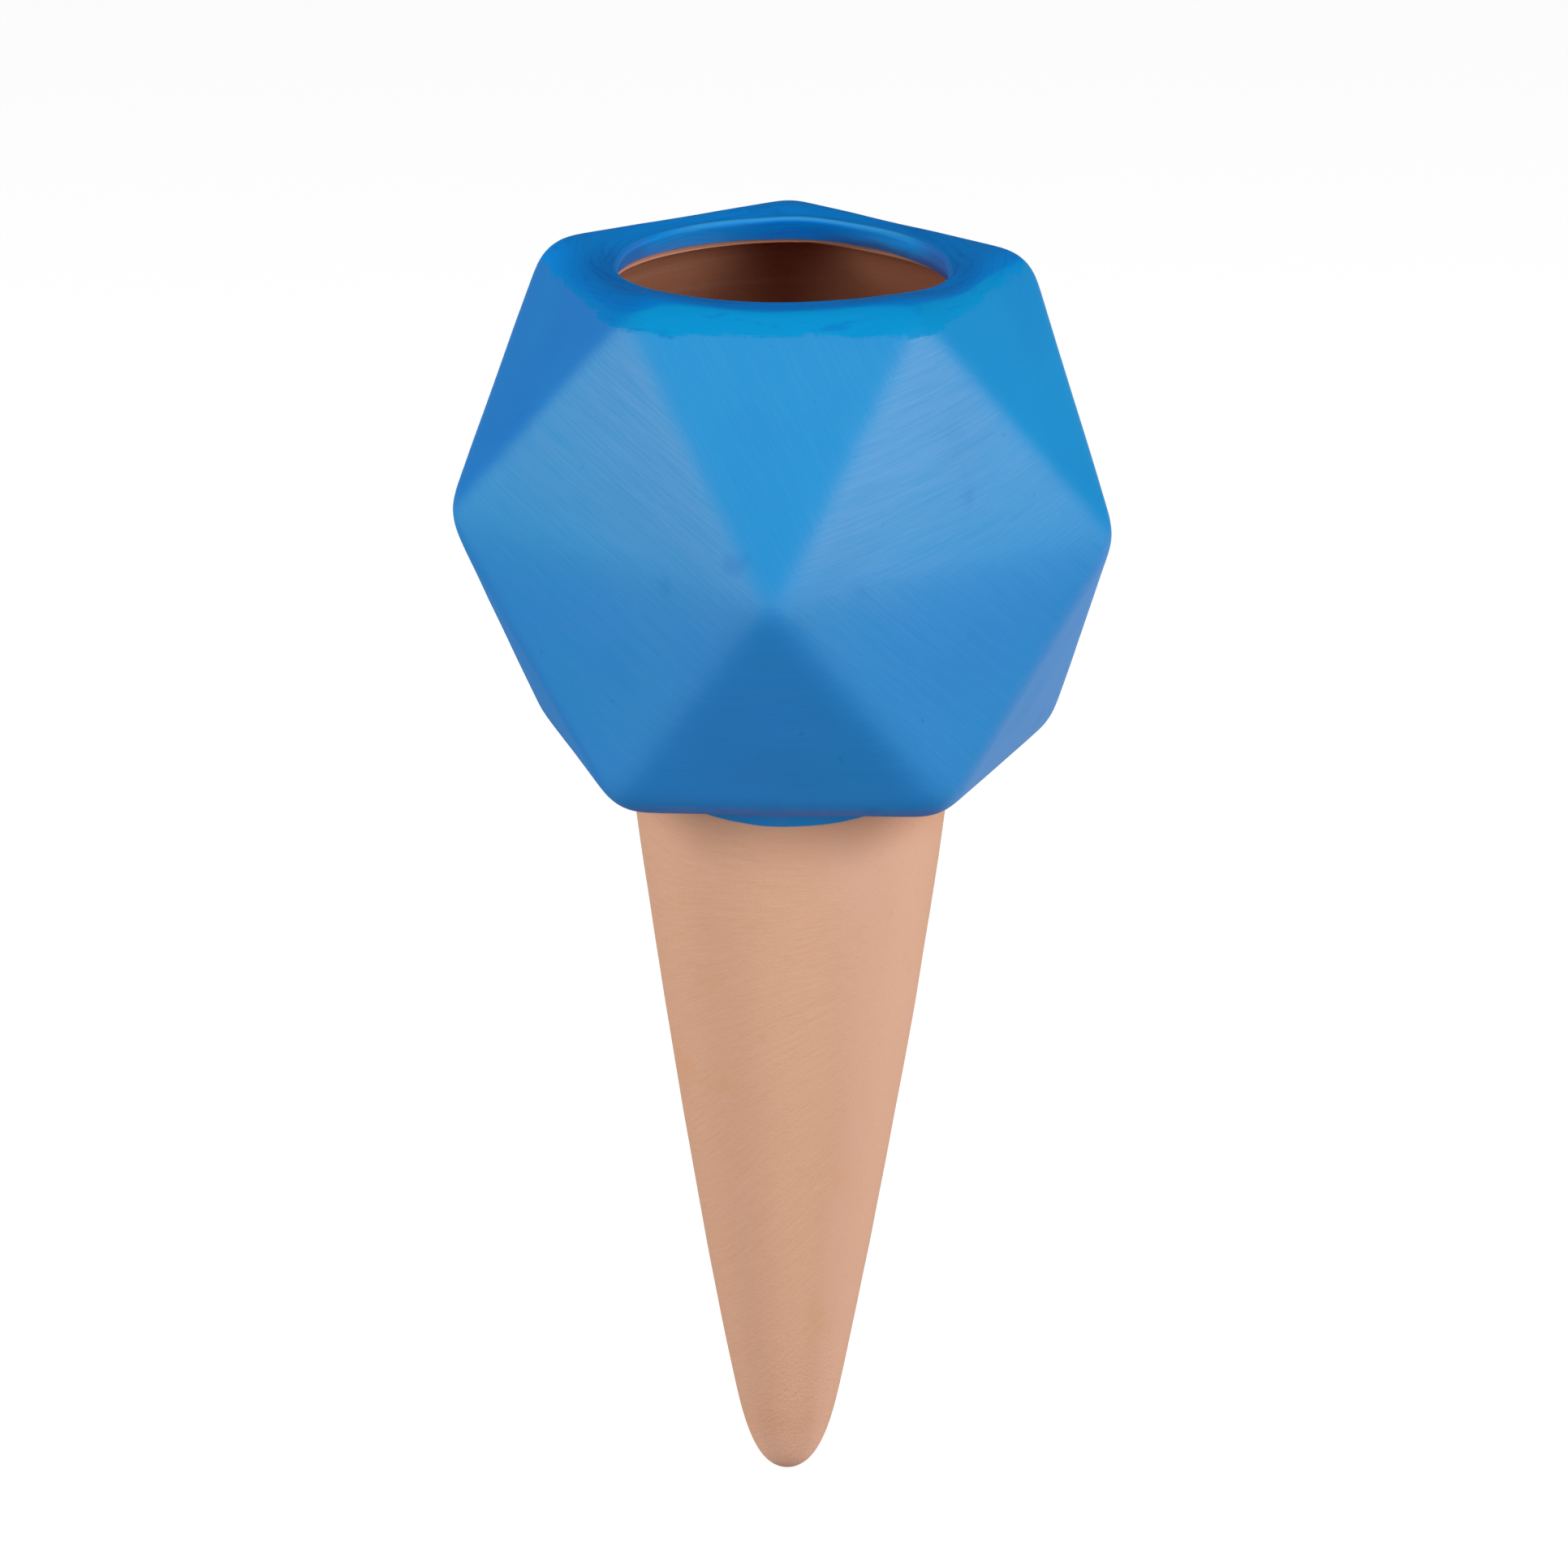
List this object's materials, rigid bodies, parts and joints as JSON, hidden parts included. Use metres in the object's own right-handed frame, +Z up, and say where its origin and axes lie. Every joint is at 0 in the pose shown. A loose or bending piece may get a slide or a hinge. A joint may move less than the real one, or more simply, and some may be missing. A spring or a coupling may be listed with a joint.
{
  "type": "self-watering plant spike",
  "caption": "Faceted painted terracotta reservoir with a round mouth on a bare hollow clay spike, pushed into potting soil to seep water slowly to the roots.",
  "frame": {"origin": "on the spike's axis, in the plane of the reservoir's flat underside, which rests on the soil", "axes": "+Z up along the spike's axis towards the mouth, -Y towards a waist corner of the reservoir (the front)"},
  "size_m": [0.095, 0.0911, 0.19],
  "materials": {
    "terracotta": "bare fired clay, matt and porous, lightly sponged",
    "slip": "bare fired slip, matt",
    "blue_paint": "brushed water-based paint, matt with a soft sheen"
  },
  "bodies": {
    "root": {"bowl": "terracotta", "spike": "terracotta", "slip_joint": "slip", "paint_coat": "blue_paint"}
  },
  "joints": []
}
